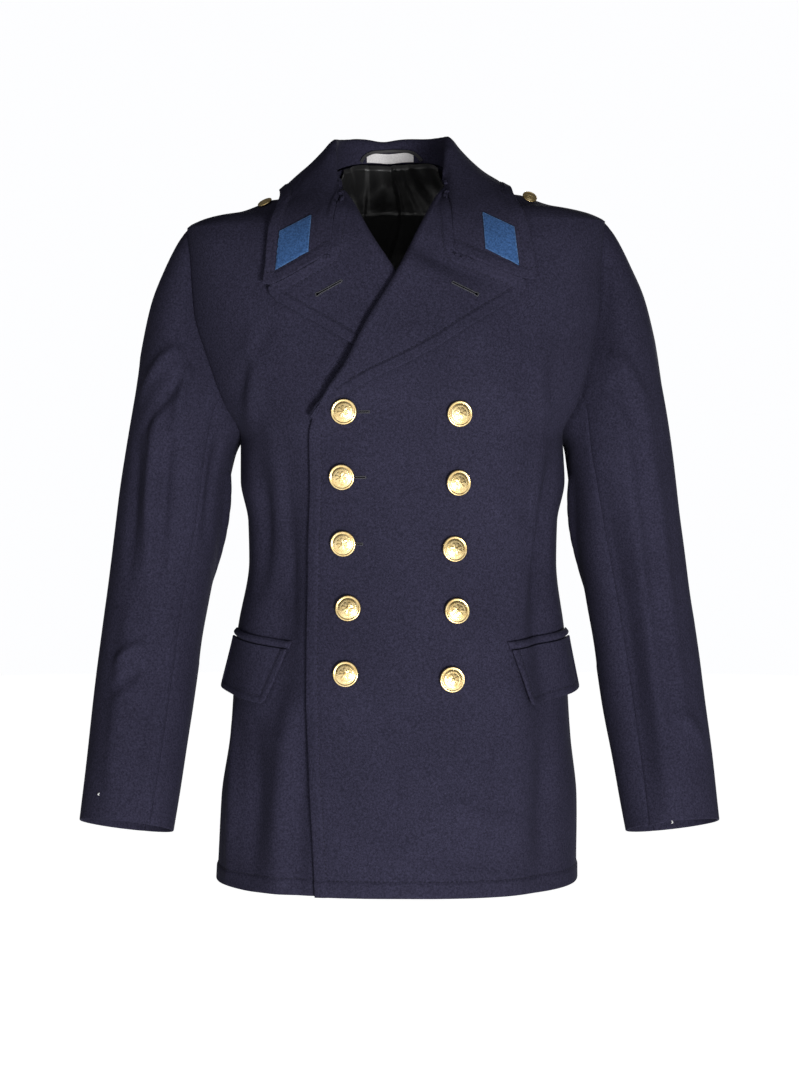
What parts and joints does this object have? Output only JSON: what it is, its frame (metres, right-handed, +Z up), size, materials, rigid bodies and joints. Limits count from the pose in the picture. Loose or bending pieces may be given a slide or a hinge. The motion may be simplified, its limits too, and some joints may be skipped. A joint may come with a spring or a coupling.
{
  "type": "coat",
  "caption": "Hip-length double-breasted wool uniform coat in its worn shape, with a wide collar and lapels, collar patches, flap pockets and domed metal buttons.",
  "frame": {"origin": "the middle of the neck, at the height where the shoulder seams reach the collar; the wearer's shoulders and neck hold the coat there", "axes": "+X to the coat's own left (the viewer's right), -Y to its front, +Z up"},
  "size_m": [0.656, 0.2725, 0.7908],
  "materials": {
    "wool": "navy melton wool, matt with a fine nap",
    "blue_felt": "mid-blue felt, matt",
    "gold_metal": "polished gold-coloured metal",
    "black_satin": "black satin",
    "white_satin": "white satin"
  },
  "bodies": {
    "root": {"back_left": "wool", "back_right": "wool", "front_left": "wool", "front_right": "wool", "lapel_left": "wool", "lapel_right": "wool", "collar": "wool", "sleeve_top_left": "wool", "sleeve_top_right": "wool", "sleeve_under_left": "wool", "sleeve_under_right": "wool", "pocket_flap_left": "wool", "pocket_flap_right": "wool", "pocket_welt_left": "wool", "pocket_welt_right": "wool", "collar_patch_left": "blue_felt", "collar_patch_right": "blue_felt", "button_left_1": "gold_metal", "button_right_1": "gold_metal", "button_left_2": "gold_metal", "button_right_2": "gold_metal", "button_left_3": "gold_metal", "button_right_3": "gold_metal", "button_left_4": "gold_metal", "button_right_4": "gold_metal", "button_left_5": "gold_metal", "button_right_5": "gold_metal", "shoulder_button_left": "gold_metal", "shoulder_button_right": "gold_metal", "lining_back": "black_satin", "hanger_loop": "black_satin", "label": "white_satin"}
  },
  "joints": []
}
